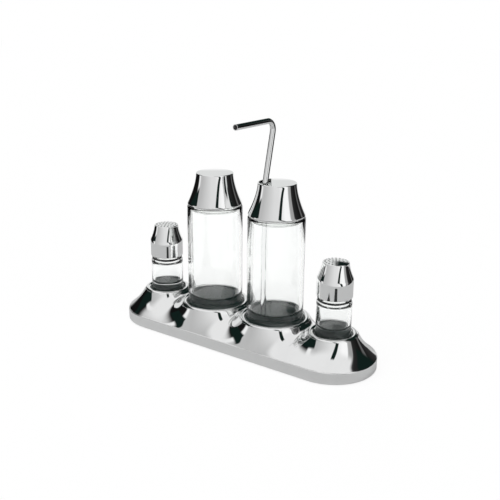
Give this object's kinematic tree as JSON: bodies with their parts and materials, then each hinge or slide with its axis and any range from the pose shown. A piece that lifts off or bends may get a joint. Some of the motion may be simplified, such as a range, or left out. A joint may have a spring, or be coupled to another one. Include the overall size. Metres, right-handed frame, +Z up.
{
  "type": "cruet set",
  "caption": "Polished stadium base with flared collars that hold two tall capped glass jars and two perforated glass shakers; a bent tube stands in one jar.",
  "frame": {"origin": "under the middle of the base, on the surface it stands on", "axes": "+X along the base towards the pepper shaker, -Y the front, +Z up"},
  "size_m": [0.2616, 0.0869, 0.2055],
  "materials": {
    "polished_metal": "mirror polished chromed metal",
    "tube_steel": "polished stainless tube",
    "clear_glass": "clear, heavy-bottomed",
    "clear_plastic": "natural translucent plastic",
    "seat_liner": "black soft-touch plastic",
    "soft_rubber": "matt black rubber",
    "clear_silicone": "translucent silicone",
    "underside_plate": "fine-grained black plastic",
    "screw_steel": "zinc-plated steel"
  },
  "bodies": {
    "base": {"base_shell": "polished_metal", "base_plate": "underside_plate", "base_screws": "screw_steel", "base_feet": "soft_rubber", "salt_seat_liner": "seat_liner", "oil_seat_liner": "seat_liner", "vinegar_seat_liner": "seat_liner", "pepper_seat_liner": "seat_liner"},
    "oil_jar": {"oil_jar": "clear_glass"},
    "oil_cap": {"oil_cap": "polished_metal", "oil_stopper": "clear_plastic", "oil_seal_ring": "clear_silicone"},
    "vinegar_jar": {"vinegar_jar": "clear_glass"},
    "vinegar_cap": {"vinegar_cap": "polished_metal", "vinegar_stopper": "clear_plastic", "vinegar_seal_ring": "clear_silicone"},
    "tube": {"dispensing_tube": "tube_steel"},
    "salt_jar": {"salt_jar": "clear_glass"},
    "salt_gasket": {"salt_gasket": "soft_rubber"},
    "salt_cap": {"salt_cap": "polished_metal", "salt_cap_sleeve": "clear_plastic"},
    "pepper_jar": {"pepper_jar": "clear_glass"},
    "pepper_gasket": {"pepper_gasket": "soft_rubber"},
    "pepper_cap": {"pepper_cap": "polished_metal", "pepper_cap_sleeve": "clear_plastic"}
  },
  "joints": [
    {"name": "oil_jar_lift", "type": "slide", "parent": "base", "child": "oil_jar", "axis": [0, 0, 1], "range_m": [0, 0.05]},
    {"name": "oil_cap_lift", "type": "slide", "parent": "oil_jar", "child": "oil_cap", "axis": [0, 0, 1], "range_m": [0, 0.03]},
    {"name": "vinegar_jar_lift", "type": "slide", "parent": "base", "child": "vinegar_jar", "axis": [0, 0, 1], "range_m": [0, 0.05]},
    {"name": "vinegar_cap_lift", "type": "slide", "parent": "vinegar_jar", "child": "vinegar_cap", "axis": [0, 0, 1], "range_m": [0, 0.03]},
    {"name": "tube_lift", "type": "slide", "parent": "vinegar_cap", "child": "tube", "axis": [0, 0, 1], "range_m": [0, 0.12]},
    {"name": "salt_jar_lift", "type": "slide", "parent": "base", "child": "salt_jar", "axis": [0, 0, 1], "range_m": [0, 0.04]},
    {"name": "pepper_jar_lift", "type": "slide", "parent": "base", "child": "pepper_jar", "axis": [0, 0, 1], "range_m": [0, 0.04]},
    {"name": "salt_cap_rise", "type": "slide", "parent": "salt_jar", "child": "salt_gasket", "axis": [0, 0, 1], "range_m": [0, 0.0121]},
    {"name": "salt_cap_turn", "type": "hinge", "parent": "salt_gasket", "child": "salt_cap", "pos_m": [-0.0927, 0, 0.07], "axis": [0, 0, 1], "range_deg": [0, 1080]},
    {"name": "pepper_cap_rise", "type": "slide", "parent": "pepper_jar", "child": "pepper_gasket", "axis": [0, 0, 1], "range_m": [0, 0.0121]},
    {"name": "pepper_cap_turn", "type": "hinge", "parent": "pepper_gasket", "child": "pepper_cap", "pos_m": [0.0927, 0, 0.07], "axis": [0, 0, 1], "range_deg": [0, 1080]}
  ],
  "couplings": [
    {"joint": "salt_cap_rise", "follows": "salt_cap_turn", "m_per_rad": 0.00063662},
    {"joint": "pepper_cap_rise", "follows": "pepper_cap_turn", "m_per_rad": 0.00063662}
  ]
}
